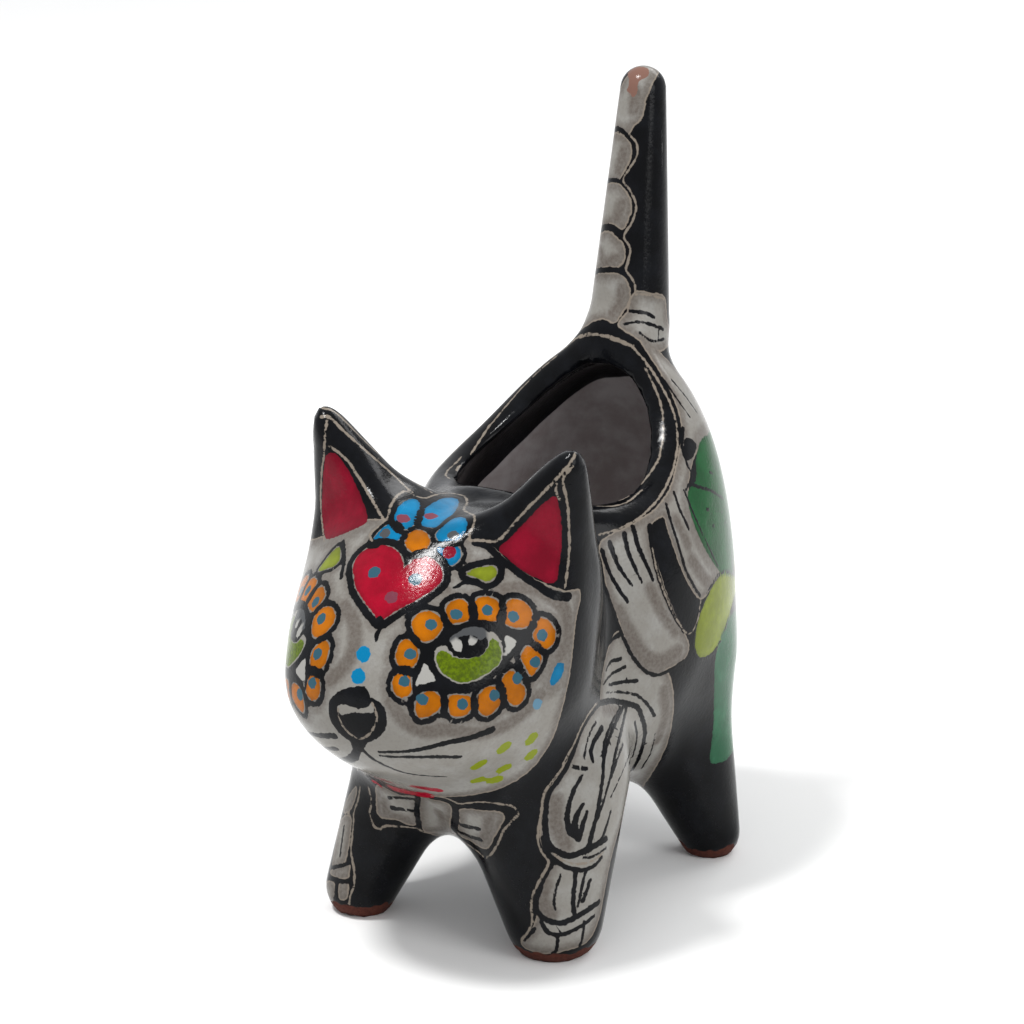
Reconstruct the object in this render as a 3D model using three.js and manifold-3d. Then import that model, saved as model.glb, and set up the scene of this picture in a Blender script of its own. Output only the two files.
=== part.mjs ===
// A ceramic cat planter: one fired-clay shell on four feet, hollow, and open along the back for a plant.
// Millimetres, +Z up. The cat looks along -Y, its left side is +X, and the origin is on the ground,
// midway between the nose and the rump.

import * as THREE from "three";
import { mergeVertices } from "three/addons/utils/BufferGeometryUtils.js";
import Module from "manifold-3d";

// Driving sizes
const HEIGHT = 256; // soles to the tip of the tail
const WALL = 8.5; // thickness of the clay around the hollows
const LIP_ROUNDING = 6; // how softly the mouth's edge is rounded on the outside
const LIP_INNER_ROUNDING = 2.5; // and on the inside
const STEPS_PER_WALL = 1.35; // steps of the surface's grid to one wall's thickness
const STEPS_PER_HEIGHT = 40.5; // and to the whole height, whichever gives the finer grid
const TIDY_ROUNDS = 3; // rounds of evening out the surface's triangles

// The pose and proportions of the animal are shares of its height, counted in hundredths.
const share = HEIGHT / 100;

// Named places of the animal, in shares: [sideways, lengthways, up], and radii.
const TORSO = { x: 0, y: 11, z: 34.4, wide: 19.9, front: 23.5, back: 26.4, down: 24.6, up: 30 };
const RUMP = { x: 1, y: 20.6, z: 50.6, wide: 11.6, front: 11.1, back: 11.1, down: 16.8, up: 16.2 };
const CHEST = { x: 0, y: -10.5, z: 24.7, wide: 12.9, front: 11.4, back: 11.4, down: 13, up: 13 };
const HEAD = { x: -0.6, y: -17, z: 37.8, wide: 19.3, front: 17.3, back: 16.3, down: 18.6, up: 16.5 };
const MUZZLE = { x: -0.6, y: -30.4, z: 34.8, wide: 11.2, front: 6, back: 6, down: 6.6, up: 6.6 };
const MOUTH = { y: 2.2, z: 69.6, radius: 17.7 };
const EAR = { tip: [19.3, -18.5, 68.3], thick: 3.3, depth: 26, edge: 3.6, fade: 9 };
const FRONT_LEFT_LEG = { top: [8.8, -10.3, 20.8], foot: [13.8, -15.3, 4.3], thick: 11.1, thin: 6.1 };
const FRONT_RIGHT_LEG = { top: [6.8, -10.7, 24.2], foot: [13, -17, 3.1], thick: 8, thin: 4.5 };
const REAR_LEG = { top: [8, 19.6, 24.6], foot: [15.6, 21.3, 2.7], thick: 9.5, thin: 4 };
const TAIL = { root: [0.5, 25.9, 68.2], tip: [0, 29.8, 97.1], thick: 5.1, thin: 2.9 };
const BLEND = { rump: 7.1, chest: 6.2, muzzle: 8.5, ear: 6.2, leg: 5.6, tail: 5.2, neck: 5.3 };

// The ear is where four planes meet, two in front at its tip and two behind. Each one's slopes:
const EAR_PLANES = {
  face: [0.2, -1, 0],
  side: [1, 0, -0.03],
  back: [0, 1, 0.28],
  inner: [-1, 0, 0.95],
};

// A smooth joining of two distances, and a smooth cutting of one by another.
function join(a, b, softness) {
  const near = Math.max(softness - Math.abs(a - b), 0) / softness;
  return Math.min(a, b) - near * near * softness * 0.25;
}

function cut(a, b, softness) {
  return -join(-a, -b, softness);
}

// An ovoid with its own radius each way.
function ovoid(form) {
  const [centreX, centreY, centreZ] = [form.x * share, form.y * share, form.z * share];
  const wide = form.wide * share;
  const [front, back] = [form.front * share, form.back * share];
  const [down, up] = [form.down * share, form.up * share];
  return (x, y, z) => {
    const radiusY = y < centreY ? front : back;
    const radiusZ = z < centreZ ? down : up;
    const [u, v, w] = [(x - centreX) / wide, (y - centreY) / radiusY, (z - centreZ) / radiusZ];
    const size = Math.hypot(u, v, w);
    const slope = Math.hypot(u / wide, v / radiusY, w / radiusZ);
    return (size * (size - 1)) / Math.max(slope, 1e-6);
  };
}

// A limb: a round cone, thick at its start and thin at its end, with ball ends.
function limb(start, end, thickShares, thinShares) {
  const from = new THREE.Vector3(...start).multiplyScalar(share);
  const axis = new THREE.Vector3(...end).multiplyScalar(share).sub(from);
  const [thick, thin] = [thickShares * share, thinShares * share];
  const length = axis.length();
  axis.normalize();
  const sine = (thick - thin) / length;
  const cosine = Math.sqrt(1 - sine * sine);
  return (x, y, z) => {
    const [dx, dy, dz] = [x - from.x, y - from.y, z - from.z];
    const along = dx * axis.x + dy * axis.y + dz * axis.z;
    const off = Math.sqrt(Math.max(dx * dx + dy * dy + dz * dz - along * along, 0));
    const place = along * cosine - off * sine;
    if (place < 0) return Math.hypot(along, off) - thick;
    if (place > length * cosine) return Math.hypot(along - length, off) - thin;
    return off * cosine + along * sine - thick;
  };
}

// An ear: four planes with softened edges, fading into the head at its foot.
function ear(form) {
  const [tipX, tipY, tipZ] = form.tip.map((value) => value * share);
  const softness = form.edge * share;
  const planes = Object.values(EAR_PLANES).map((slopes) => new THREE.Vector3(...slopes).normalize());
  return (x, y, z) => {
    const [face, side, back, inner] = planes.map((normal, index) => {
      const planeY = index < 2 ? tipY : tipY + form.thick * share;
      return normal.x * (x - tipX) + normal.y * (y - planeY) + normal.z * (z - tipZ);
    });
    const wedge = cut(cut(face, side, softness), cut(back, inner, softness), softness);
    return cut(wedge, tipZ - form.depth * share - z, form.fade * share);
  };
}

const torso = ovoid(TORSO);
const rump = ovoid(RUMP);
const chest = ovoid(CHEST);
const skull = ovoid(HEAD);
const muzzle = ovoid(MUZZLE);
const earForm = ear(EAR);
const tail = limb(TAIL.root, TAIL.tip, TAIL.thick, TAIL.thin);
const rearLeg = limb(REAR_LEG.top, REAR_LEG.foot, REAR_LEG.thick, REAR_LEG.thin);
const [frontLeft, frontRight] = [FRONT_LEFT_LEG, FRONT_RIGHT_LEG].map((leg) =>
  limb(leg.top, leg.foot, leg.thick, leg.thin),
);

// The barrel of the body before anything is added to it or taken out of it.
function barrel(x, y, z) {
  return join(torso(x, y, z), rump(x, y, z), BLEND.rump * share);
}

// The head before its ears: skull and muzzle.
function bareHead(x, y, z) {
  return join(skull(x, y, z), muzzle(x, y, z), BLEND.muzzle * share);
}

// The saddle of the mouth: the air inside a trough that runs across the back.
function saddle(y, z) {
  const fromAxis = Math.hypot(y - MOUTH.y * share, Math.min(z - MOUTH.z * share, 0));
  return MOUTH.radius * share - fromAxis;
}

// The whole cat: positive in the air, negative in the clay.
function clay(x, y, z) {
  const side = Math.abs(x);
  const body = barrel(x, y, z);
  const head = bareHead(x, y, z);
  let outer = cut(body, saddle(y, z), LIP_ROUNDING);
  outer = join(outer, chest(x, y, z), BLEND.chest * share);
  outer = join(outer, tail(x, y, z), BLEND.tail * share);
  outer = join(outer, frontLeft(x, y, z), BLEND.leg * share);
  outer = join(outer, frontRight(-x, y, z), BLEND.leg * share);
  outer = join(outer, rearLeg(side, y, z), BLEND.leg * share);
  const ears = earForm(Math.abs(x - HEAD.x * share), y, z);
  outer = join(outer, join(head, ears, BLEND.ear * share), BLEND.neck * share);
  const hollow = Math.min(body, head) + WALL;
  return cut(outer, -hollow, LIP_INNER_ROUNDING);
}

// The eight corners of a grid cell, one bit for each axis, and the twelve edges between them.
const CORNERS = [0, 1, 2, 3, 4, 5, 6, 7];
const EDGES = CORNERS.flatMap((corner) =>
  [1, 2, 4].filter((bit) => !(corner & bit)).map((bit) => [corner, corner | bit]),
);

// Faces of the surface where a distance is zero. Each grid cell on the surface gets a vertex for each
// separate stretch of air in it, so that a wall thinner than a cell keeps its two sides apart.
function surfaceOf(distance, low, high, step) {
  const counts = low.map((value, axis) => Math.ceil((high[axis] - value) / step) + 1);
  const strides = [1, counts[0], counts[0] * counts[1]];
  const place = (node, axis) => low[axis] + step * (Math.floor(node / strides[axis]) % counts[axis]);
  const values = new Float64Array(strides[2] * counts[2]);
  for (let node = 0; node < values.length; node++) {
    values[node] = distance(place(node, 0), place(node, 1), place(node, 2));
  }
  const nodeOf = (cell, corner) =>
    cell + (corner & 1) + (corner & 2 ? strides[1] : 0) + (corner & 4 ? strides[2] : 0);
  const vertices = [];
  const vertexOf = new Map();

  function addCell(cell) {
    const level = CORNERS.map((corner) => values[nodeOf(cell, corner)]);
    const crossed = EDGES.filter(([a, b]) => level[a] > 0 !== level[b] > 0);
    if (!crossed.length) return;
    const group = [...CORNERS];
    for (const pass of CORNERS) {
      for (const [a, b] of EDGES) {
        if (level[a] > 0 && level[b] > 0) group[a] = group[b] = Math.min(group[a], group[b]);
      }
    }
    const sums = new Map();
    for (const [a, b] of crossed) {
      const air = level[a] > 0 ? a : b;
      const sum = sums.get(group[air]) ?? { point: new THREE.Vector3(), count: 0 };
      const part = level[a] / (level[a] - level[b]);
      const [from, to] = [nodeOf(cell, a), nodeOf(cell, b)];
      const point = [0, 1, 2].map((axis) => place(from, axis) * (1 - part) + place(to, axis) * part);
      sum.point.add(new THREE.Vector3(...point));
      sum.count += 1;
      sums.set(group[air], sum);
    }
    for (const [label, sum] of sums) {
      const vertex = vertices.push(sum.point.divideScalar(sum.count)) - 1;
      for (const corner of CORNERS) {
        if (level[corner] > 0 && group[corner] === label) vertexOf.set(cell * 8 + corner, vertex);
      }
    }
  }

  const triangles = [];
  function addEdge(node, axis) {
    const [from, to] = [values[node], values[node + strides[axis]]];
    if (from > 0 === to > 0) return;
    const [next, last] = [(axis + 1) % 3, (axis + 2) % 3];
    const ring = [[1, 1], [0, 1], [0, 0], [1, 0]].map(([b, c]) => {
      const cell = node - b * strides[next] - c * strides[last];
      const corner = (from > 0 ? 0 : 1 << axis) + (b << next) + (c << last);
      return vertexOf.get(cell * 8 + corner);
    });
    if (from > 0) ring.reverse();
    const [p, q, r, s] = ring.map((vertex) => vertices[vertex]);
    const [a, b, c, d] = ring;
    if (p.distanceTo(r) < q.distanceTo(s)) triangles.push(a, b, c, a, c, d);
    else triangles.push(a, b, d, b, c, d);
  }

  const inside = (node, axis) => Math.floor(node / strides[axis]) % counts[axis];
  const hasCell = (node) => [0, 1, 2].every((axis) => inside(node, axis) < counts[axis] - 1);
  for (let node = 0; node < values.length; node++) if (hasCell(node)) addCell(node);
  for (const vertex of vertices) settle(vertex, distance, step);
  for (let node = 0; node < values.length; node++) {
    if (hasCell(node)) [0, 1, 2].forEach((axis) => addEdge(node, axis));
  }
  for (let round = 0; round < TIDY_ROUNDS; round++) {
    swapEdges(vertices, triangles, distance);
    spread(vertices, triangles, distance, step);
  }
  swapEdges(vertices, triangles, distance);
  const geometry = new THREE.BufferGeometry();
  geometry.setAttribute("position", new THREE.Float32BufferAttribute(vertices.flatMap((v) => v.toArray()), 3));
  geometry.setIndex(triangles);
  return geometry;
}

// Moves a vertex onto the surface along the slope of the distance, by less than half a grid step.
function settle(vertex, distance, step) {
  const start = vertex.clone();
  for (let round = 0; round < 4; round++) {
    const slope = slopeAt(vertex, distance);
    vertex.addScaledVector(slope, -distance(...vertex) / Math.max(slope.lengthSq(), 0.2));
    vertex.sub(start).clampLength(0, step * 0.45).add(start);
  }
}

function slopeAt({ x, y, z }, distance) {
  const probe = WALL / 70;
  return new THREE.Vector3(
    distance(x + probe, y, z) - distance(x - probe, y, z),
    distance(x, y + probe, z) - distance(x, y - probe, z),
    distance(x, y, z + probe) - distance(x, y, z - probe),
  ).divideScalar(2 * probe);
}

// Gives each pair of triangles the diagonal that lies closer to the surface.
function swapEdges(vertices, triangles, distance) {
  const key = (a, b) => a * vertices.length + b;
  const faceOf = new Map();
  const put = (face, corners) => {
    corners.forEach((corner, index) => {
      triangles[3 * face + index] = corner;
      faceOf.set(key(corner, corners[(index + 1) % 3]), face);
    });
  };
  for (let face = 0; face < triangles.length / 3; face++) put(face, triangles.slice(3 * face, 3 * face + 3));
  const miss = (a, b) => Math.abs(distance(...vertices[a].clone().lerp(vertices[b], 0.5)));
  const normal = (a, b, c) => {
    const [first, second] = [b, c].map((corner) => vertices[corner].clone().sub(vertices[a]));
    return first.cross(second);
  };
  const third = (face, a, b) => triangles.slice(3 * face, 3 * face + 3).find((v) => v !== a && v !== b);
  for (const edge of [...faceOf.keys()]) {
    const [a, b] = [Math.floor(edge / vertices.length), edge % vertices.length];
    const [face, other] = [faceOf.get(key(a, b)), faceOf.get(key(b, a))];
    if (a > b || face === undefined || other === undefined) continue;
    const [c, d] = [third(face, a, b), third(other, a, b)];
    if (faceOf.has(key(c, d)) || faceOf.has(key(d, c))) continue;
    if (miss(c, d) > miss(a, b) * 0.8 - WALL / 500) continue;
    const outward = normal(a, b, c).add(normal(b, a, d));
    const [one, two] = [normal(a, d, c), normal(d, b, c)];
    const least = outward.lengthSq() * 0.05;
    if (one.dot(outward) < least || two.dot(outward) < least) continue;
    faceOf.delete(key(a, b));
    faceOf.delete(key(b, a));
    put(face, [a, d, c]);
    put(other, [d, b, c]);
  }
}

// Spreads the vertices evenly, sliding each one along the surface towards the middle of its neighbours.
function spread(vertices, triangles, distance, step) {
  const sums = vertices.map(() => new THREE.Vector3());
  const counts = vertices.map(() => 0);
  triangles.forEach((corner, index) => {
    const next = index % 3 === 2 ? index - 2 : index + 1;
    sums[corner].add(vertices[triangles[next]]);
    counts[corner] += 1;
  });
  vertices.forEach((vertex, index) => {
    const slide = sums[index].divideScalar(Math.max(counts[index], 1)).sub(vertex);
    const outward = slopeAt(vertex, distance).normalize();
    slide.addScaledVector(outward, -slide.dot(outward)).clampLength(0, step * 0.4);
    vertex.addScaledVector(slide, 0.6);
    settle(vertex, distance, step);
  });
}

const wasm = await Module();
wasm.setup();

// A closed geometry as a solid, and a solid back as a geometry.
function solidFrom(geometry) {
  const bare = geometry.clone();
  bare.deleteAttribute("normal");
  bare.deleteAttribute("uv");
  const merged = mergeVertices(bare, 1e-5);
  const vertProperties = new Float32Array(merged.attributes.position.array);
  const triVerts = new Uint32Array(merged.index.array);
  return new wasm.Manifold(new wasm.Mesh({ numProp: 3, vertProperties, triVerts }));
}

function geometryFrom(solid) {
  const { vertProperties, triVerts } = solid.getMesh();
  const geometry = new THREE.BufferGeometry();
  geometry.setAttribute("position", new THREE.Float32BufferAttribute(vertProperties, 3));
  geometry.setIndex([...triVerts]);
  geometry.computeVertexNormals();
  return geometry;
}

// The clay surface, with the feet cut flat where they stand on the ground.
function catGeometry() {
  const step = Math.min(HEIGHT / STEPS_PER_HEIGHT, WALL / STEPS_PER_WALL);
  const reach = { side: 24 * share, front: -42 * share, back: 42 * share, below: -6 * share };
  const low = [-reach.side, reach.front, reach.below];
  const high = [reach.side, reach.back, HEIGHT + 2 * step];
  const figure = solidFrom(surfaceOf(clay, low, high, step));
  const depth = -2 * reach.below;
  const ground = new THREE.BoxGeometry(4 * reach.side, 3 * reach.back, depth).translate(0, 0, -depth / 2);
  return geometryFrom(figure.subtract(solidFrom(ground)));
}

const glaze = new THREE.MeshStandardMaterial({ color: 0x23272a, roughness: 0.2, metalness: 0 });
const cat = new THREE.Mesh(catGeometry(), glaze);
cat.name = "cat_planter";

const planter = new THREE.Group();
planter.add(cat);

export default planter;
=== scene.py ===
# A ceramic cat planter, glazed and painted by hand: the fired clay's fine surface, its glazes and its stage.
# Shapes are worked out in millimetres, in the model's own frame. Painted shapes are picked as pixels of the
# 1024 x 1024 view and carried along the camera's rays onto the clay.

import math

import bpy
import numpy as np
from mathutils import Matrix, Vector


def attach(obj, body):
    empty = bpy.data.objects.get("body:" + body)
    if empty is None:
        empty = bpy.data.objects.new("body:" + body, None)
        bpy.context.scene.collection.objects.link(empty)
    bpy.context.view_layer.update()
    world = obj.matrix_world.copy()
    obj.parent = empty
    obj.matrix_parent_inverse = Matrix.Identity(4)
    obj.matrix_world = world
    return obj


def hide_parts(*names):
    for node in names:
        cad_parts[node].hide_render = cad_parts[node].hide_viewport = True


MM = 0.001

# The cat's form, in hundredths of its height; the wall and the lip's roundings are in millimetres
HEIGHT = 256.0
SHARE = HEIGHT / 100
WALL = 8.5
LIP_ROUNDING = 6.0
LIP_INNER_ROUNDING = 2.5
TORSO = dict(x=0, y=11, z=34.4, wide=19.9, front=23.5, back=26.4, down=24.6, up=30)
RUMP = dict(x=1, y=20.6, z=50.6, wide=11.6, front=11.1, back=11.1, down=16.8, up=16.2)
CHEST = dict(x=0, y=-10.5, z=24.7, wide=12.9, front=11.4, back=11.4, down=13, up=13)
HEAD = dict(x=-0.6, y=-17, z=37.8, wide=19.3, front=17.3, back=16.3, down=18.6, up=16.5)
MUZZLE = dict(x=-0.6, y=-30.4, z=34.8, wide=11.2, front=6, back=6, down=6.6, up=6.6)
MOUTH = dict(y=2.2, z=69.6, radius=17.7)
EAR = dict(tip=(19.3, -18.5, 68.3), thick=3.3, depth=26, edge=3.6, fade=9)
EAR_PLANES = dict(face=(0.2, -1, 0), side=(1, 0, -0.03), back=(0, 1, 0.28), inner=(-1, 0, 0.95))
FRONT_LEFT_LEG = dict(top=(8.8, -10.3, 20.8), foot=(13.8, -15.3, 4.3), thick=11.1, thin=6.1)
FRONT_RIGHT_LEG = dict(top=(6.8, -10.7, 24.2), foot=(13, -17, 3.1), thick=8, thin=4.5)
REAR_LEG = dict(top=(8, 19.6, 24.6), foot=(15.6, 21.3, 2.7), thick=9.5, thin=4)
TAIL = dict(top=(0.5, 25.9, 68.2), foot=(0, 29.8, 97.1), thick=5.1, thin=2.9)
BLEND = dict(rump=7.1, chest=6.2, muzzle=8.5, ear=6.2, leg=5.6, tail=5.2, neck=5.3)
MIRROR = np.array([-1.0, 1.0, 1.0])

# The photograph's camera
VIEW_SIZE = 1024
VIEW_MIDDLE = VIEW_SIZE / 2
SENSOR_WIDTH = 36
FOCAL_PIXELS = 4000.0
AZIMUTH, ELEVATION = math.radians(31), math.radians(18.385)
DISTANCE = 1280.0
TARGET = np.array([-10.65, 12.0, 121.5])
BACK = np.array([
    math.sin(AZIMUTH) * math.cos(ELEVATION),
    -math.cos(AZIMUTH) * math.cos(ELEVATION),
    math.sin(ELEVATION),
])
RIGHT = np.array([math.cos(AZIMUTH), math.sin(AZIMUTH), 0.0])
UP = np.cross(BACK, RIGHT)
EYE = TARGET + BACK * DISTANCE

# Searches for the surface: the share of the known free distance that a step takes, and the flattest slope trusted
STEP_SHARE = 0.85
FLATTEST = 0.2


# Form

def join(a, b, softness):
    near = np.maximum(softness - np.abs(a - b), 0) / softness
    return np.minimum(a, b) - near * near * softness * 0.25


def cut(a, b, softness):
    return -join(-a, -b, softness)


def ovoid(p, form):
    q = p - np.array([form["x"], form["y"], form["z"]]) * SHARE
    low = np.array([form["wide"], form["front"], form["down"]]) * SHARE
    high = np.array([form["wide"], form["back"], form["up"]]) * SHARE
    radii = np.where(q < 0, low, high)
    size = np.sqrt(((q / radii) ** 2).sum(-1))
    slope = np.sqrt(((q / radii**2) ** 2).sum(-1))
    return size * (size - 1) / np.maximum(slope, 1e-6)


def limb(p, form):
    """A cone with ball ends, from its top to its foot."""
    start = np.array(form["top"]) * SHARE
    axis = np.array(form["foot"]) * SHARE - start
    length = np.linalg.norm(axis)
    axis = axis / length
    thick, thin = form["thick"] * SHARE, form["thin"] * SHARE
    sine = (thick - thin) / length
    cosine = math.sqrt(1 - sine * sine)
    q = p - start
    along = q @ axis
    off = np.sqrt(np.maximum((q * q).sum(-1) - along * along, 0))
    place = along * cosine - off * sine
    side = off * cosine + along * sine - thick
    far = np.hypot(along - length, off) - thin
    return np.where(place < 0, np.hypot(along, off) - thick, np.where(place > length * cosine, far, side))


def ear(p):
    tip = np.array(EAR["tip"]) * SHARE
    softness = EAR["edge"] * SHARE
    planes = []
    for name, slopes in EAR_PLANES.items():
        normal = np.array(slopes, float)
        normal /= np.linalg.norm(normal)
        behind = 0 if name in ("face", "side") else EAR["thick"] * SHARE
        planes.append((p - tip - np.array([0, behind, 0])) @ normal)
    face, side, back, inner = planes
    wedge = cut(cut(face, side, softness), cut(back, inner, softness), softness)
    return cut(wedge, tip[2] - EAR["depth"] * SHARE - p[..., 2], EAR["fade"] * SHARE)


def body_at(p):
    return join(ovoid(p, TORSO), ovoid(p, RUMP), BLEND["rump"] * SHARE)


def head_at(p):
    return join(ovoid(p, HEAD), ovoid(p, MUZZLE), BLEND["muzzle"] * SHARE)


def trough_at(p):
    """Distance from the line, across the back, that the saddle of the mouth is cut around."""
    return np.hypot(p[..., 1] - MOUTH["y"] * SHARE, np.minimum(p[..., 2] - MOUTH["z"] * SHARE, 0))


def folded(p, middle=0.0):
    """Both sides laid over each other."""
    return np.stack([np.abs(p[..., 0] - middle), p[..., 1], p[..., 2]], -1)


def clay(p):
    """Distance to the clay's surface in millimetres, positive in the air."""
    body, head = body_at(p), head_at(p)
    outer = cut(body, MOUTH["radius"] * SHARE - trough_at(p), LIP_ROUNDING)
    for added, blend in (
        (ovoid(p, CHEST), "chest"),
        (limb(p, TAIL), "tail"),
        (limb(p, FRONT_LEFT_LEG), "leg"),
        (limb(p * MIRROR, FRONT_RIGHT_LEG), "leg"),
        (limb(folded(p), REAR_LEG), "leg"),
        (join(head, ear(folded(p, HEAD["x"] * SHARE)), BLEND["ear"] * SHARE), "neck"),
    ):
        outer = join(outer, added, BLEND[blend] * SHARE)
    return cut(outer, -(np.minimum(body, head) + WALL), LIP_INNER_ROUNDING)


def in_hollow(p):
    """Below zero where a point lies on or inside the hollow's own surface."""
    return np.minimum(body_at(p), head_at(p)) + WALL


def slope_at(p, probe=0.1):
    slope = np.empty_like(p)
    for axis in range(3):
        step = np.zeros(3)
        step[axis] = probe
        slope[..., axis] = (clay(p + step) - clay(p - step)) / (2 * probe)
    return slope


def settle(p, rounds=3, reach=4.0):
    """Points moved onto the clay's surface, no further than the reach."""
    start, p = p, p.copy()
    for _ in range(rounds):
        slope = slope_at(p)
        p = p - slope * (clay(p) / np.maximum((slope**2).sum(-1), FLATTEST))[:, None]
        move = p - start
        far = np.maximum(np.linalg.norm(move, axis=-1, keepdims=True) / reach, 1)
        p = start + move / far
    return p


def outward(p):
    slope = slope_at(p)
    return slope / np.maximum(np.linalg.norm(slope, axis=-1, keepdims=True), 1e-9)


# Camera rays

def lift(pixels, before=190.0, beyond=220.0, steps=90, touching=0.02):
    """Pixels of the view carried onto the clay; those just outside its outline go to its edge."""
    pixels = np.asarray(pixels, float)
    across, down = pixels[:, :1] - VIEW_MIDDLE, VIEW_MIDDLE - pixels[:, 1:]
    rays = -BACK + RIGHT * across / FOCAL_PIXELS + UP * down / FOCAL_PIXELS
    rays /= np.linalg.norm(rays, axis=1, keepdims=True)
    travel = np.full(len(pixels), DISTANCE - before)
    best, best_travel = np.full(len(pixels), 1e9), travel.copy()
    for _ in range(steps):
        distance = clay(EYE + rays * travel[:, None])
        closer = distance < best
        best = np.where(closer, distance, best)
        best_travel = np.where(closer, travel, best_travel)
        further = np.minimum(travel + distance * STEP_SHARE, DISTANCE + beyond)
        travel = np.where(distance > touching, further, travel)
    return settle(EYE + rays * best_travel[:, None], reach=12.0)


def pixels_of(p):
    q = p - TARGET
    depth = DISTANCE - q @ BACK
    across, up = FOCAL_PIXELS * (q @ RIGHT) / depth, FOCAL_PIXELS * (q @ UP) / depth
    return np.stack([VIEW_MIDDLE + across, VIEW_MIDDLE - up], 1)


def smooth_line(pixels, closed, per_span=5):
    """A Catmull-Rom curve through the picked pixels."""
    pixels = np.asarray(pixels, float)
    count = len(pixels)
    if closed:
        order = [np.roll(pixels, shift, axis=0) for shift in (1, 0, -1, -2)]
    else:
        padded = np.vstack([2 * pixels[0] - pixels[1], pixels, 2 * pixels[-1] - pixels[-2]])
        order = [padded[i : i + count - 1] for i in range(4)]
    a, b, c, d = (part[:, None, :] for part in order)
    t = (np.arange(per_span) / per_span)[None, :, None]
    curve = 0.5 * (2 * b + (c - a) * t + (2 * a - 5 * b + 4 * c - d) * t**2 + (3 * b - a - 3 * c + d) * t**3)
    curve = curve.reshape(-1, 2)
    return curve if closed else np.vstack([curve, pixels[-1]])


# Fine surface

GROUND = 0.01
ABOVE_GROUND = 0.05
SOLE_EDGE = 1.5
SOLE_FLATTEST = 0.3


def on_sole(p):
    """New points of the flat soles: those at the edge of a foot are moved level onto the clay's outline."""
    slope = slope_at(p)
    slope[:, 2] = 0
    distance = clay(p)
    push = slope * (distance / np.maximum((slope**2).sum(-1), SOLE_FLATTEST))[:, None]
    at_edge = (distance > -SOLE_EDGE)[:, None]
    return np.where(at_edge, p - np.clip(push, -SOLE_EDGE, SOLE_EDGE), p)


def split_faces(points, faces, marks):
    """Faces cut where their edges carry a new point; a mark below zero means none."""
    split = marks >= 0
    count = split.sum(1)
    made = [faces[count == 0]]
    whole, mark = faces[count == 3], marks[count == 3]
    for corners in ((0, 3, 5), (3, 1, 4), (5, 4, 2), (3, 4, 5)):
        made.append(np.hstack([whole, mark])[:, corners])
    for turn in range(3):
        order = [(turn + k) % 3 for k in range(3)]
        one = (count == 1) & split[:, turn]
        a, b, c = faces[one][:, order].T
        mark = marks[one][:, turn]
        made += [np.stack([a, mark, c], 1), np.stack([mark, b, c], 1)]
        two = (count == 2) & ~split[:, (turn + 2) % 3]
        a, b, c = faces[two][:, order].T
        first, second = marks[two][:, turn], marks[two][:, (turn + 1) % 3]
        made.append(np.stack([first, b, second], 1))
        one_way = np.linalg.norm(points[a] - points[second], axis=1)
        other_way = np.linalg.norm(points[first] - points[c], axis=1)
        near = one_way < other_way
        made.append(np.stack([a, first, np.where(near, second, c)], 1))
        made.append(np.stack([np.where(near, a, first), second, c], 1))
    return np.concatenate(made)


def refine(points, faces, target, rounds):
    """Splits every edge longer than the target length for its place, and settles the new points."""
    for _ in range(rounds):
        edges = np.sort(np.concatenate([faces[:, [0, 1]], faces[:, [1, 2]], faces[:, [2, 0]]]), axis=1)
        keys, inverse = np.unique(edges[:, 0] * len(points) + edges[:, 1], return_inverse=True)
        ends = np.stack([keys // len(points), keys % len(points)], 1)
        middle = points[ends].mean(1)
        long = np.linalg.norm(points[ends[:, 0]] - points[ends[:, 1]], axis=1) > target(middle)
        if not long.any():
            break
        fresh = middle[long]
        moved = settle(fresh)
        moved[:, 2] = np.maximum(moved[:, 2], ABOVE_GROUND)
        fresh = np.where(fresh[:, 2:] < GROUND, on_sole(fresh), moved)
        index = np.full(len(ends), -1)
        index[long] = len(points) + np.arange(long.sum())
        points = np.vstack([points, fresh])
        faces = split_faces(points, faces, index[inverse].reshape(3, -1).T)
    return points, faces


# Colours, as eight-bit values of the fired glazes
def glaze(red, green, blue, depth=0.48):
    linear = [(v / 255) / 12.92 if v <= 10 else ((v / 255 + 0.055) / 1.055) ** 2.4 for v in (red, green, blue)]
    return tuple(v * depth for v in linear)


BLACK = glaze(12, 13, 16)
BONE = glaze(176, 172, 164)
UMBER = glaze(124, 114, 106)
# The hairlines' beige, also used for the painted highlight along the lip's inner edge
HAIR_AND_LIP_HIGHLIGHT = glaze(168, 156, 142)
ORANGE = glaze(224, 128, 0)
TEAL = glaze(62, 112, 132)
CRIMSON = glaze(196, 8, 48)
DEEP_RED = glaze(160, 14, 46)
BLUE = glaze(0, 150, 208)
PLUM = glaze(148, 74, 92)
LIME = glaze(158, 172, 44)
IRIS = glaze(122, 148, 14)
GREEN = glaze(30, 104, 54)
SEA = glaze(62, 128, 92)
GOLD = glaze(214, 148, 20)
SKY = glaze(120, 168, 196)
# White for the eyes' corners, and for the painted highlights in the pupils
WHITE_AND_EYE_HIGHLIGHT = glaze(206, 204, 198)
# Steel grey for the flower's dots, and for the painted reflection across the top of the pupils
STEEL_AND_PUPIL_REFLECTION = glaze(96, 98, 100)

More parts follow.
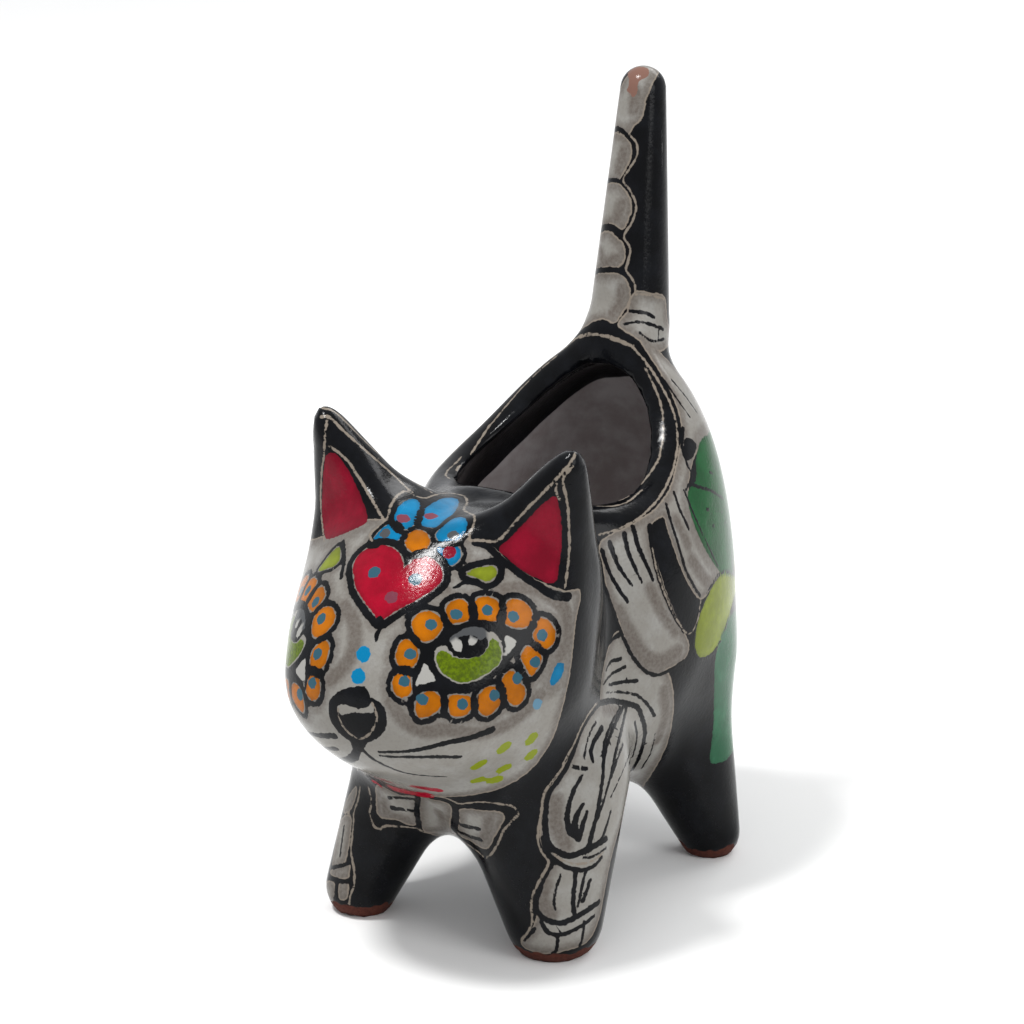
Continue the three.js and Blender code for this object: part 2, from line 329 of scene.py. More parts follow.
# Closed shapes: layer, colour, gap and width in millimetres of the dark ring around, and pixels
PETAL = (0.35, 1.8)
FLOWER = (0.3, 1.5)
LEAF = (0.3, 2.2)
EYE_PETALS = [
    [(414, 632), (412, 622), (418, 614), (428, 611), (438, 615), (443, 623), (440, 632), (432, 640), (424, 642),
        (417, 638)],
    [(446, 607), (455, 600), (464, 600), (470, 608), (470, 619), (459, 623), (450, 622)],
    [(477, 598), (490, 597), (499, 603), (499, 619), (488, 622), (477, 619), (475, 607)],
    [(506, 603), (513, 599), (524, 602), (532, 612), (531, 624), (522, 628), (509, 626), (503, 620), (506, 611)],
    [(539, 618), (548, 620), (555, 630), (554, 642), (546, 649), (538, 644), (533, 636), (536, 626)],
    [(528, 646), (537, 650), (542, 658), (538, 668), (531, 676), (526, 668), (521, 657), (524, 649)],
    [(513, 670), (518, 681), (525, 688), (524, 699), (515, 706), (507, 699), (502, 686), (504, 676)],
    [(478, 696), (488, 687), (498, 688), (501, 700), (495, 711), (485, 716), (478, 709)],
    [(449, 696), (460, 695), (471, 697), (472, 708), (464, 716), (452, 716), (448, 706)],
    [(418, 698), (428, 691), (438, 694), (442, 705), (433, 714), (420, 718), (415, 709)],
    [(397, 674), (409, 673), (411, 683), (412, 692), (403, 698), (395, 694), (392, 684)],
    [(397, 650), (402, 641), (410, 640), (417, 648), (418, 658), (412, 668), (402, 668), (396, 660)],
]
LEFT_EYE = [("fill", ORANGE, PETAL, pixels) for pixels in EYE_PETALS] + [
    ("ink", None, None, [(413, 692), (413, 678), (419, 662), (428, 649), (439, 637), (453, 628), (472, 620),
        (492, 621), (510, 628), (524, 631), (531, 634), (530, 640), (522, 643), (517, 652), (508, 664), (497, 675),
        (483, 684), (466, 691), (447, 692), (430, 691)]),
    ("top", WHITE_AND_EYE_HIGHLIGHT, None, [(425, 663), (430, 671), (436, 680), (427, 683), (419, 685), (415, 689), (417, 679),
        (421, 670)]),
    ("top", WHITE_AND_EYE_HIGHLIGHT, None, [(505, 636), (517, 641), (512, 649), (507, 657), (506, 648)]),
    # The pupil's greyer top is a painted reflection on the glaze
    ("top", STEEL_AND_PUPIL_REFLECTION, None, [(449, 640), (458, 632), (470, 627), (484, 628), (487, 634), (482, 640), (474, 636),
        (462, 636), (452, 643)]),
    ("top", BONE, None, [(434, 655), (437, 648), (446, 646), (453, 656), (465, 658), (480, 656), (488, 645),
        (487, 633), (492, 632), (499, 638), (503, 650), (500, 663), (490, 673), (476, 681), (459, 684), (446, 677),
        (437, 668)]),
    ("lid", IRIS, None, [(437, 655), (445, 652), (452, 658), (465, 660), (481, 657), (489, 648), (492, 639),
        (498, 644), (500, 654), (497, 664), (487, 672), (473, 679), (460, 681), (449, 676), (441, 668)]),
    # The two white spots in the pupil are painted highlights
    ("top", WHITE_AND_EYE_HIGHLIGHT, None, [(452, 643), (460, 639), (462, 650), (455, 651)]),
    ("top", WHITE_AND_EYE_HIGHLIGHT, None, [(469, 639), (476, 639), (475, 645), (469, 645)]),
]
FACE = [
    ("fill", CRIMSON, (0.3, 2.4), [(354, 578), (353, 566), (358, 556), (368, 548), (380, 545), (391, 547), (399, 553),
        (403, 561), (404, 570), (408, 566), (414, 559), (424, 556), (434, 560), (441, 568), (442, 579), (435, 588),
        (420, 598), (401, 608), (387, 617), (380, 621), (373, 613), (363, 600), (356, 588)]),
    ("fill", BLUE, FLOWER, [(371, 543), (376, 535), (384, 527), (392, 523), (398, 528), (402, 537), (394, 541),
        (386, 540), (379, 540), (376, 544)]),
    ("fill", BLUE, FLOWER, [(394, 517), (400, 505), (408, 500), (416, 499), (420, 505), (417, 518), (413, 526),
        (404, 530), (397, 526)]),
    ("fill", BLUE, FLOWER, [(420, 519), (424, 510), (433, 503), (444, 498), (455, 498), (459, 503), (453, 514),
        (444, 520), (437, 527), (428, 527), (420, 524)]),
    ("fill", BLUE, FLOWER, [(436, 534), (444, 525), (455, 518), (465, 518), (467, 526), (462, 536), (454, 542),
        (444, 543), (438, 540)]),
    ("fill", BLUE, FLOWER, [(436, 548), (446, 546), (458, 546), (461, 556), (454, 565), (448, 564), (441, 556)]),
    ("fill", ORANGE, FLOWER, [(405, 542), (408, 534), (416, 530), (425, 532), (430, 540), (427, 549), (418, 554),
        (409, 550)]),
    ("fill", LIME, LEAF, [(466, 574), (474, 569), (484, 567), (494, 566), (497, 572), (493, 579), (486, 582),
        (478, 578)]),
    ("fill", BLUE, None, [(556, 664), (563, 663), (564, 670), (559, 681), (552, 686), (550, 681), (553, 672)]),
    ("ink", None, None, [(363, 686), (368, 690), (370, 697), (376, 700), (384, 707), (387, 718), (385, 730),
        (378, 738), (366, 743), (356, 743), (345, 738), (335, 728), (329, 716), (329, 703), (336, 693), (348, 688)]),
    ("ink", None, None, [(352, 740), (368, 741), (362, 750), (359, 759), (352, 763), (343, 761), (335, 758),
        (345, 757), (352, 750)]),
    ("top", BONE, None, [(337, 706), (346, 705), (354, 708), (366, 708), (372, 703), (374, 711), (367, 713),
        (351, 713), (341, 715)]),
    ("fill", DEEP_RED, None, [(553, 496), (558, 502), (561, 520), (562, 545), (559, 565), (556, 582), (548, 583),
        (534, 577), (519, 568), (506, 557), (499, 549), (510, 538), (525, 522), (540, 507)]),
    ("fill", DEEP_RED, None, [(327, 455), (336, 454), (348, 470), (360, 494), (367, 516), (365, 524), (350, 531),
        (333, 538), (326, 538), (322, 522), (322, 494), (324, 466)]),
    ("fill", LIME, (0.3, 1.6), [(318, 571), (324, 562), (332, 552), (339, 547), (340, 559), (334, 566), (326, 569)]),
]

# Dots and dabs: colour, width in pixels, and pixels
EYE_DOTS = [(TEAL, 11, [(431, 624), (456, 614), (487, 610), (513, 616), (542, 635), (535, 662), (517, 678), (494, 695),
        (462, 704), (422, 699), (404, 681), (410, 654)])]
FACE_DOTS = [
    (TEAL, 13, [(374, 572), (415, 579)]),
    (PLUM, 13, [(391, 597), (403, 518), (431, 516)]),
    (STEEL_AND_PUPIL_REFLECTION, 11, [(385, 533), (453, 535)]),
    (DEEP_RED, 13, [(449, 552)]),
    (BLUE, 15, [(363, 654), (358, 676)]),
    (SKY, 11, [(537, 704)]),
]
FACE_DABS = [
    (LIME, 12, [(502, 750), (506, 746)]),
    (LIME, 12, [(530, 741), (533, 737)]),
    (LIME, 11, [(529, 757), (533, 753)]),
    (LIME, 12, [(476, 767), (482, 763)]),
    (LIME, 11, [(501, 770), (507, 767)]),
    (LIME, 11, [(475, 781), (481, 779)]),
    (LIME, 11, [(491, 781), (498, 779)]),
    (CRIMSON, 12, [(354, 774), (360, 777)]),
    (CRIMSON, 16, [(373, 777), (386, 781)]),
    (CRIMSON, 13, [(369, 784), (378, 785)]),
    (CRIMSON, 14, [(392, 788), (408, 792)]),
    (CRIMSON, 14, [(416, 787), (436, 790)]),
    (CRIMSON, 14, [(416, 794), (428, 795)]),
]

# Brush strokes: width in pixels, or widths at the start and the end, and pixels
FACE_INK = [
    (7, 3, [(380, 619), (380, 628), (377, 634), (376, 641)]),
    (3, 8, [(379, 752), (395, 752), (410, 751), (422, 749), (446, 743), (470, 738), (484, 733), (492, 730)]),
    (3, 5, [(380, 756), (400, 757), (430, 757), (460, 757)]),
    (5, 2, [(361, 748), (370, 757), (382, 764), (396, 770), (410, 774), (430, 776), (447, 777)]),
    (5, 7, [(299, 728), (315, 735), (335, 736)]),
    (5, 6, [(312, 743), (325, 748), (337, 749)]),
    (8, 3, [(478, 583), (466, 582), (454, 588)]),
    (6, 9, [(475, 543), (488, 547), (502, 560), (520, 574), (540, 587), (554, 595), (568, 597)]),
    (5, 5, [(343, 541), (344, 560), (341, 578)]),
]
FACE_HAIR = [
    (2.4, [(372, 541), (370, 534), (379, 526), (387, 518), (391, 505), (398, 495), (406, 491), (414, 495), (425, 498),
        (438, 494), (450, 493), (464, 496), (467, 502), (464, 510), (474, 516), (473, 526), (469, 535), (470, 541)]),
    (2.6, [(576, 453), (570, 463), (556, 479), (540, 496), (520, 516), (505, 534), (497, 541), (488, 541),
        (474, 540)]),
    (2.4, [(573, 466), (563, 480), (567, 500), (569, 525), (569, 555), (565, 588)]),
    (2.0, [(558, 484), (556, 491), (560, 500)]),
    (3.0, [(321, 407), (335, 412), (350, 426), (370, 446), (395, 468), (408, 478)]),
    (3.0, [(321, 417), (329, 417), (345, 432), (365, 450), (388, 470), (404, 485), (412, 492)]),
    (2.4, [(412, 481), (422, 487), (433, 493)]),
    (2.6, [(327, 421), (325, 432), (324, 452), (321, 480), (321, 510), (324, 541)]),
    (2.4, [(329, 446), (345, 458), (358, 476), (372, 500), (384, 520)]),
    (2.0, [(338, 707), (339, 717), (344, 728), (353, 736), (361, 739), (370, 733), (376, 722), (376, 712),
        (372, 703)]),
]
FACE_SHADE = [
    (12, [(391, 702), (402, 718), (424, 731), (448, 729), (474, 734), (502, 727), (524, 712), (541, 694)]),
    (12, [(500, 590), (530, 588), (552, 598), (567, 614), (568, 640), (560, 656)]),
    (12, [(344, 606), (354, 622), (354, 646), (346, 664), (330, 680)]),
    (9, [(384, 606), (400, 596), (424, 590), (446, 590)]),
]

# The white mask of the face: down its left side and along its lower edge, up the right side and back over the brow
MASK = [(580, 592), (575, 620), (572, 650), (568, 680), (561, 710), (552, 738), (535, 764), (512, 782), (480, 793),
    (440, 796), (400, 787), (362, 772), (344, 760), (320, 752), (285, 720), (275, 660), (278, 580), (300, 550),
    (318, 548), (330, 541), (350, 535), (370, 528), (385, 530), (410, 528), (440, 530), (474, 542), (492, 548),
    (512, 566), (540, 583), (566, 592)]

# The bones of body, bow, legs and tail
LIMB_BONES = [
    [(600, 702), (589, 715), (579, 733), (571, 755), (559, 775), (549, 791), (545, 803), (543, 820), (541, 838),
        (547, 853), (553, 861), (546, 873), (540, 887), (537, 902), (538, 914), (534, 927), (522, 941), (528, 949),
        (548, 953), (572, 948), (588, 940), (598, 920), (604, 892), (610, 862), (618, 832), (630, 800), (645, 782),
        (660, 758), (669, 735), (673, 705), (671, 684), (664, 670), (645, 665), (628, 640), (618, 632), (610, 645),
        (604, 668), (601, 688)],
    [(602, 542), (604, 565), (608, 590), (616, 612), (626, 638), (636, 657), (646, 667), (657, 671), (672, 666),
        (686, 656), (688, 643), (679, 624), (667, 597), (659, 572), (652, 548), (649, 530), (654, 520), (664, 516),
        (668, 528), (676, 552), (684, 573), (693, 590), (702, 598), (712, 585), (719, 571), (710, 557), (699, 535),
        (691, 512), (688, 490), (690, 470), (697, 450), (712, 432), (701, 404), (684, 380), (664, 357), (640, 338),
        (648, 352), (662, 374), (676, 402), (683, 430), (678, 462), (670, 490), (655, 510), (636, 523)],
    [(635, 293), (650, 294), (664, 298), (667, 320), (671, 338), (664, 348), (655, 350), (645, 343), (632, 334),
        (619, 325), (628, 312)],
    [(378, 786), (392, 792), (402, 796), (417, 799), (415, 824), (396, 819), (380, 816), (377, 800)],
    [(421, 798), (432, 800), (450, 806), (449, 826), (455, 834), (440, 836), (424, 830), (420, 818)],
    [(461, 810), (480, 811), (503, 815), (494, 835), (486, 848), (470, 840), (459, 834), (460, 822)],
    [(346, 803), (352, 792), (356, 788), (355, 797), (350, 809), (344, 812)],
    [(341, 821), (350, 817), (350, 831), (347, 851), (343, 863), (333, 865), (336, 845)],
    [(334, 869), (348, 864), (348, 876), (341, 878), (331, 873)],
    [(340, 884), (347, 884), (346, 897), (340, 898)],
    [(326, 884), (334, 884), (333, 901), (328, 900)],
    [(612, 137), (620, 135), (628, 141), (631, 151), (628, 162), (622, 174), (617, 180), (606, 178), (607, 160)],
    [(606, 187), (617, 184), (626, 193), (631, 206), (628, 218), (622, 228), (612, 223), (600, 224), (602, 205)],
    [(599, 237), (608, 232), (616, 238), (623, 246), (624, 256), (619, 266), (608, 266), (594, 267), (596, 252)],
    [(591, 277), (605, 274), (620, 275), (628, 286), (629, 300), (622, 312), (614, 322), (603, 318), (584, 321),
        (587, 300)],
    [(614, 130), (616, 105), (624, 82), (638, 66), (652, 63), (658, 70), (651, 84), (645, 100), (641, 117),
        (632, 127), (626, 136), (620, 130)],
]
LIMB_FILLS = [
    ("fill", GREEN, None, [(700, 442), (708, 435), (717, 440), (725, 460), (733, 490), (737, 520), (731, 548),
        (733, 572), (724, 576), (713, 562), (701, 541), (691, 515), (688, 492), (696, 480), (696, 460)]),
    ("fill", SEA, None, [(720, 640), (728, 620), (738, 615), (738, 690), (736, 740), (729, 757), (718, 763),
        (710, 760), (713, 730), (714, 700), (715, 662)]),
    ("fill", LIME, (0.2, 1.1), [(723, 574), (716, 581), (706, 600), (698, 622), (695, 646), (700, 657), (710, 654),
        (720, 640), (730, 612), (737, 582), (731, 575)]),
    ("dot", glaze(158, 118, 104), None, [(634, 73), (641, 67), (649, 69), (648, 76), (640, 80), (636, 90), (630, 97),
        (627, 90), (630, 80)]),
    ("ink", None, None, [(686, 438), (693, 440), (697, 447), (692, 458), (686, 460), (683, 450)]),
]
LIMB_INK = [
    (6, 4, [(610, 131), (618, 129), (625, 133), (630, 140)]),
    (5, 4, [(603, 182), (614, 180), (624, 183)]),
    (6, 5, [(600, 229), (608, 226), (616, 229), (624, 238)]),
    (6, 5, [(591, 273), (602, 270), (616, 270), (626, 275)]),
    (6, 6, [(418, 797), (417, 812), (420, 830)]),
    (7, 8, [(454, 804), (456, 816), (454, 831)]),
    (4, 5, [(424, 796), (438, 798), (452, 804)]),
    (4, 4, [(331, 868), (340, 866), (349, 863)]),
    (5, 5, [(328, 877), (340, 881), (350, 881)]),
    (5, 4, [(337, 883), (336, 893), (334, 902)]),
    (6, 6, [(600, 703), (612, 701), (628, 704), (637, 707), (642, 718), (645, 732), (642, 748), (637, 762),
        (630, 773)]),
    (5, 7, [(600, 703), (590, 716), (581, 732), (574, 750), (566, 768), (556, 783), (549, 794), (546, 806),
        (545, 822), (546, 836), (550, 846), (558, 852), (570, 856), (582, 852), (594, 846), (606, 839)]),
    (6, 4, [(543, 838), (547, 852), (556, 861), (568, 868), (582, 870), (594, 866), (602, 857)]),
    (3, 3, [(596, 722), (590, 733), (586, 747), (584, 758)]),
    (7, 4, [(602, 728), (596, 738), (591, 750), (593, 762)]),
    (5, 4, [(574, 767), (587, 769)]),
    (4, 7, [(582, 776), (574, 790), (569, 805), (567, 820), (570, 832), (577, 836)]),
    (4, 8, [(583, 804), (577, 815), (574, 828)]),
    (4, 7, [(587, 812), (583, 824), (579, 839)]),
    (4, 6, [(624, 706), (616, 722), (608, 742), (604, 760), (603, 776), (600, 796), (597, 815), (592, 833),
        (588, 850)]),
    (3, 5, [(621, 707), (611, 725), (605, 741), (603, 756)]),
    (5, 3, [(627, 706), (622, 728), (616, 752), (611, 774), (606, 794), (598, 818)]),
    (3, 2, [(629, 734), (630, 750), (625, 766), (618, 782), (611, 797)]),
    (4, 3, [(635, 722), (637, 736), (634, 752), (629, 764)]),
    (2, 3, [(655, 734), (651, 752), (642, 768)]),
    (3, 3, [(623, 744), (617, 761), (611, 778)]),
    (3, 4, [(611, 811), (606, 828), (601, 840)]),
    (3, 3, [(606, 848), (594, 856), (583, 858)]),
    (2, 4, [(606, 693), (620, 692), (636, 695), (646, 703), (655, 716)]),
    (3, 5, [(609, 685), (622, 682), (637, 681)]),
    (2, 4, [(603, 685), (612, 674), (625, 667)]),
    (2, 5, [(606, 671), (611, 662), (620, 659)]),
    (3, 6, [(609, 644), (614, 638), (619, 635)]),
    (4, 4, [(606, 588), (614, 612), (623, 637), (633, 657), (645, 671), (657, 675), (670, 670), (684, 661)]),
    (6, 6, [(553, 862), (545, 875), (539, 890), (536, 904), (539, 914), (549, 921), (562, 923), (574, 918),
        (586, 911), (599, 902)]),
    (5, 4, [(541, 922), (548, 932), (560, 935), (572, 931), (584, 924), (594, 916)]),
    (3, 3, [(561, 875), (556, 888), (554, 900), (555, 909)]),
    (5, 5, [(576, 871), (574, 890), (573, 905), (575, 916)]),
    (4, 3, [(586, 870), (582, 886), (578, 906)]),
    (4, 5, [(590, 880), (586, 893), (583, 901)]),
    (3, 5, [(524, 941), (534, 929)]),
    (3, 5, [(558, 938), (556, 950), (549, 958)]),
    (3, 4, [(584, 921), (583, 935), (580, 946)]),
    (6, 3, [(610, 543), (615, 558), (622, 572), (632, 585)]),
    (6, 3, [(624, 534), (628, 551), (635, 568), (642, 582)]),
    (6, 4, [(633, 527), (638, 545), (646, 564), (653, 580)]),
    (7, 4, [(650, 526), (652, 546), (656, 566), (663, 590), (673, 613), (684, 632)]),
    (5, 4, [(602, 550), (607, 566), (615, 583), (628, 602)]),
    (4, 4, [(666, 504), (672, 525), (680, 550), (687, 573), (700, 596)]),
    (4, 4, [(674, 492), (680, 510), (689, 529)]),
    (3, 3, [(684, 490), (693, 512), (704, 537), (718, 566)]),
    (4, 3, [(683, 428), (682, 446), (687, 464), (692, 476), (686, 490)]),
    (4, 3, [(690, 484), (700, 487), (712, 491), (724, 499)]),
    (4, 2, [(707, 509), (722, 512)]),
    (3, 3, [(713, 526), (727, 522)]),
    (3, 2, [(710, 472), (724, 484)]),
    (3, 2, [(662, 378), (675, 396), (690, 417)]),
    (3, 2, [(672, 380), (686, 397), (698, 414)]),
    (4, 4, [(630, 311), (645, 313), (654, 317)]),
    (3, 4, [(624, 324), (640, 322), (655, 326), (663, 329)]),
    (3, 3, [(640, 333), (652, 341), (664, 339)]),
    (5, 5, [(389, 798), (414, 799)]),
    (6, 5, [(392, 808), (414, 811)]),
    (6, 5, [(461, 825), (479, 829)]),
    (5, 5, [(459, 832), (481, 840)]),
    (3, 3, [(344, 826), (340, 856)]),
]
# Hairlines of the limbs, rim and tail; three of them are the painted highlight along the lip's inner edge
LIMB_HAIR_AND_LIP_HIGHLIGHT = [
    (2.4, [(597, 703), (588, 715), (580, 730), (573, 746), (565, 760), (562, 768), (553, 780), (546, 790), (543, 800),
        (541, 815), (539, 826), (538, 840), (541, 851), (548, 861), (547, 867), (540, 880), (533, 894), (531, 906),
        (532, 916), (531, 926), (521, 941)]),
    (2.2, [(554, 854), (564, 861), (578, 864), (592, 861), (604, 852)]),
    (2.2, [(368, 785), (371, 800), (370, 815), (374, 826), (380, 829), (386, 826), (404, 827), (418, 829), (424, 832),
        (438, 833)]),
    (2.2, [(432, 796), (445, 798), (455, 802), (460, 804), (480, 802), (500, 804), (512, 806), (518, 813), (514, 819),
        (504, 830), (497, 845), (490, 855), (484, 857), (477, 851), (458, 838)]),
    (2.2, [(360, 786), (358, 800), (354, 812), (353, 830), (351, 850), (354, 870), (354, 885), (350, 897),
        (349, 904)]),
    (2.0, [(629, 134), (636, 142), (637, 155), (630, 168), (623, 180), (630, 190), (636, 205), (632, 222), (624, 236),
        (630, 248), (628, 262), (626, 270), (634, 282), (635, 293)]),
    (2.2, [(635, 294), (650, 295), (664, 299)]),
    (2.2, [(566, 341), (585, 336), (598, 335), (612, 337), (628, 344), (640, 355), (650, 368), (662, 387), (672, 408),
        (677, 428), (677, 450), (672, 472), (664, 490), (652, 506), (636, 520), (616, 530), (599, 535)]),
    # These three pale lines along the lip's inner edge are a painted highlight, in the hairlines' colour
    (2.4, [(597, 502), (610, 502), (625, 498), (640, 485), (652, 470), (660, 456)]),
    (2.0, [(597, 506), (612, 506), (627, 502), (642, 490)]),
    (2.0, [(645, 368), (655, 388), (662, 410), (663, 436), (659, 458)]),
    (2.0, [(652, 548), (657, 570), (665, 594), (675, 616), (688, 634), (697, 622), (701, 600)]),
]
LIMB_SHADE = [
    (14, [(618, 612), (630, 636), (644, 656), (660, 662), (678, 652)]),
    (9, [(650, 588), (662, 612), (676, 632)]),
    (12, [(556, 800), (556, 825), (566, 845)]),
    (10, [(604, 708), (618, 712)]),
    (12, [(545, 884), (542, 900), (550, 914)]),
    (10, [(664, 690), (666, 715), (658, 740)]),
    (12, [(692, 560), (704, 578), (710, 584)]),
    (9, [(676, 520), (688, 545)]),
    (8, [(384, 800), (388, 814), (408, 820)]),
    (8, [(440, 812), (444, 828), (430, 830)]),
    (9, [(490, 818), (486, 834), (480, 842)]),
    (10, [(624, 150), (618, 172)]),
    (10, [(622, 204), (616, 220)]),
    (8, [(600, 250), (604, 262), (618, 258)]),
    (9, [(622, 288), (620, 304), (610, 316)]),
    (10, [(636, 90), (634, 110)]),
]

# The flower's other half, past the view's edge: millimetres along the haunch and up, seen square on from behind
HAUNCH = math.radians(135)
HAUNCH_OUT = np.array([math.sin(HAUNCH), -math.cos(HAUNCH), 0.0])
HAUNCH_ALONG = np.array([math.cos(HAUNCH), math.sin(HAUNCH), 0.0])
HAUNCH_FAR = 130.0
FLOWER_LEAVES = [
    (GREEN, [(10, 137), (20, 142), (32, 137), (40, 125), (41, 112), (34, 104), (24, 100), (12, 98), (8, 116)]),
    (SEA, [(10, 64), (24, 68), (30, 58), (31, 44), (25, 30), (14, 26), (9, 44)]),
    (LIME, [(46, 108), (56, 112), (64, 104), (62, 94), (52, 96)]),
    (GREEN, [(44, 72), (52, 74), (60, 68), (62, 56), (54, 54), (46, 60)]),
]
FLOWER_MIDDLE = np.array([36.0, 88.0])
FLOWER_HEART = 5.5
PETALS, PETAL_LONG, PETAL_BROAD, PETAL_OUT, PETAL_TURN = 6, 10.0, 6.4, 12.5, 30

# What is painted where: as the view shows it, mirrored to the other flank, or mirrored about the head
PLAIN, BOTH, BOTH_EYES = ("plain",), ("plain", "mirror"), ("plain", "eye")
HEAD_MIDDLE = 2 * HEAD["x"] * SHARE
EYE_DROP = 7.0
TAIL_FOOT_ROW = 330
CHIN_ROW, CHEST_COLUMN = 780, 520
PIXELS_PER_MM = FOCAL_PIXELS / DISTANCE

# How far right, back and down each place reaches on the clay, in millimetres
PLACE_LIMITS = {
    "plain": (math.inf, math.inf, -math.inf),
    "mirror": (12, math.inf, -math.inf),
    "head": (6, 0, 40),
    "eye": (-3, -20, 60),
}


# Painted shapes

def inside(pixels, outline):
    """Even-odd test of pixels against a closed outline."""
    ends = np.roll(outline, -1, axis=0)
    x, y = pixels[:, :1], pixels[:, 1:]
    crosses = (outline[:, 1] > y) != (ends[:, 1] > y)
    rise = np.where(ends[:, 1] == outline[:, 1], 1e-9, ends[:, 1] - outline[:, 1])
    at = outline[:, 0] + (y - outline[:, 1]) * (ends[:, 0] - outline[:, 0]) / rise
    return (crosses & (x < at)).sum(1) % 2 == 1


def gap_to(points, line, half, keep, at_once=20000, far=99.0):
    """Distance to a line's painted edge; below zero inside its width."""
    start, way = line[:-1][keep], np.diff(line, axis=0)[keep]
    half_start, half_way = half[:-1][keep], np.diff(half)[keep]
    size = np.maximum((way**2).sum(1), 1e-9)
    best = np.full(len(points), far)
    for first in range(0, len(points), at_once):
        part = slice(first, first + at_once)
        off = points[part, None] - start
        t = np.clip((off * way).sum(-1) / size, 0, 1)
        off = off - t[..., None] * way
        best[part] = (np.sqrt((off**2).sum(-1)) - half_start - half_way * t).min(1, initial=far)
    return best


shapes = []


def shape(layer, colour, ring, closed, widths, pixels, places, square=False):
    """Adds a stroke or a closed outline: its widths and pixels, its ring's gap and width, and its places."""
    curve = smooth_line(pixels, closed) if len(pixels) > 2 else np.asarray(pixels, float)
    if closed:
        curve = np.vstack([curve, curve[:1]])
    if len(curve) == 1:
        curve = np.vstack([curve, curve + 0.5])
    half = np.linspace(*widths, len(curve)) / 2 / PIXELS_PER_MM
    shapes.append(dict(
        layer=layer, colour=colour, ring=ring, closed=closed, curve=curve, half=half, places=places, square=square,
    ))


def outlined(layer, colour, ring, pixels, places, square=False):
    shape(layer, colour, ring, True, (0, 0), pixels, places, square)


def sides_of(pixels):
    """The tail's bones, the bow and the right leg's panels are painted once, all else on both flanks."""
    on_tail = max(row for _, row in pixels) < TAIL_FOOT_ROW
    on_chest = min(row for _, row in pixels) > CHIN_ROW and max(column for column, _ in pixels) < CHEST_COLUMN
    return PLAIN if on_tail or on_chest else BOTH


def even(strokes):
    """Strokes of one width all along."""
    return [(width, width, pixels) for width, pixels in strokes]


def oval(middle, turn, along, across, count):
    """Points of an oval in the haunch's plan."""
    way = np.array([math.cos(turn), math.sin(turn)])
    aside = np.array([-math.sin(turn), math.cos(turn)])
    turns = np.arange(count) * math.tau / count
    return [tuple(middle + way * along * math.cos(t) + aside * across * math.sin(t)) for t in turns]


outlined("bone", None, None, MASK, ("plain", "head"))
for pixels in LIMB_BONES:
    outlined("bone", None, None, pixels, sides_of(pixels))
for places, kinds in ((BOTH_EYES, LEFT_EYE), (PLAIN, FACE), (BOTH, LIMB_FILLS)):
    for layer, colour, ring, pixels in kinds:
        outlined(layer, colour, ring, pixels, places)
for places, dots in ((BOTH_EYES, EYE_DOTS), (PLAIN, FACE_DOTS)):
    for colour, width, spots in dots:
        for spot in spots:
            shape("dot", colour, None, False, (width, width), [spot], places)
for colour, width, spots in FACE_DABS:
    shape("dot", colour, None, False, (width, width), spots, PLAIN)
for layer, strokes in (("ink", FACE_INK), ("hair_and_lip_highlight", even(FACE_HAIR)), ("shade", even(FACE_SHADE))):
    for first, last, pixels in strokes:
        shape(layer, None, None, False, (first, last), pixels, PLAIN)
for layer, strokes in (("ink", LIMB_INK), ("hair_and_lip_highlight", even(LIMB_HAIR_AND_LIP_HIGHLIGHT)), ("shade", even(LIMB_SHADE))):
    for first, last, pixels in strokes:
        shape(layer, None, None, False, (first, last), pixels, sides_of(pixels))
for colour, outline in FLOWER_LEAVES:
    outlined("fill", colour, None, outline, BOTH, True)
for petal in range(PETALS):
    turn = math.radians(PETAL_TURN + petal * 360 / PETALS)
    middle = FLOWER_MIDDLE + np.array([math.cos(turn), math.sin(turn)]) * PETAL_OUT
    outlined("top", GOLD, (0.2, 1.0), oval(middle, turn, PETAL_LONG, PETAL_BROAD, 10), BOTH, True)
outlined("dot", CRIMSON, None, oval(FLOWER_MIDDLE, 0.0, FLOWER_HEART, FLOWER_HEART, 8), BOTH, True)


def haunch_points(curve, steps=60):
    """Points of the haunch's plan carried squarely onto the clay."""
    travel = np.zeros(len(curve))
    start = HAUNCH_ALONG * curve[:, :1] + np.array([0, 0, 1]) * curve[:, 1:] + HAUNCH_OUT * HAUNCH_FAR
    for _ in range(steps):
        travel = np.minimum(travel + clay(start - HAUNCH_OUT * travel[:, None]) * STEP_SHARE, HAUNCH_FAR)
    return settle(start - HAUNCH_OUT * travel[:, None])


# A span that is much longer on the clay than in the view jumps a gap, and isn't painted
SPAN_STRETCH, SPAN_SLACK = 5, 3
lifted = lift(np.vstack([item["curve"] for item in shapes if not item["square"]]))
used = 0
for item in shapes:
    if item["square"]:
        item["line"] = haunch_points(item["curve"])
        item["keep"] = np.ones(len(item["line"]) - 1, bool)
        continue
    item["line"] = lifted[used : used + len(item["curve"])]
    used += len(item["curve"])
    steps = np.linalg.norm(np.diff(item["line"], axis=0), axis=1)
    seen = np.linalg.norm(np.diff(item["curve"], axis=0), axis=1) / PIXELS_PER_MM
    item["keep"] = steps < seen * SPAN_STRETCH + SPAN_SLACK


def placed(points, place):
    """Where a point of the clay lies on the side that the view shows."""
    if place == "plain":
        return points
    if place == "mirror":
        return settle(points * MIRROR, reach=5.0)
    shift = np.array([HEAD_MIDDLE, 0.0, EYE_DROP if place == "eye" else 0.0])
    return settle(points * MIRROR + shift, reach=6.0)


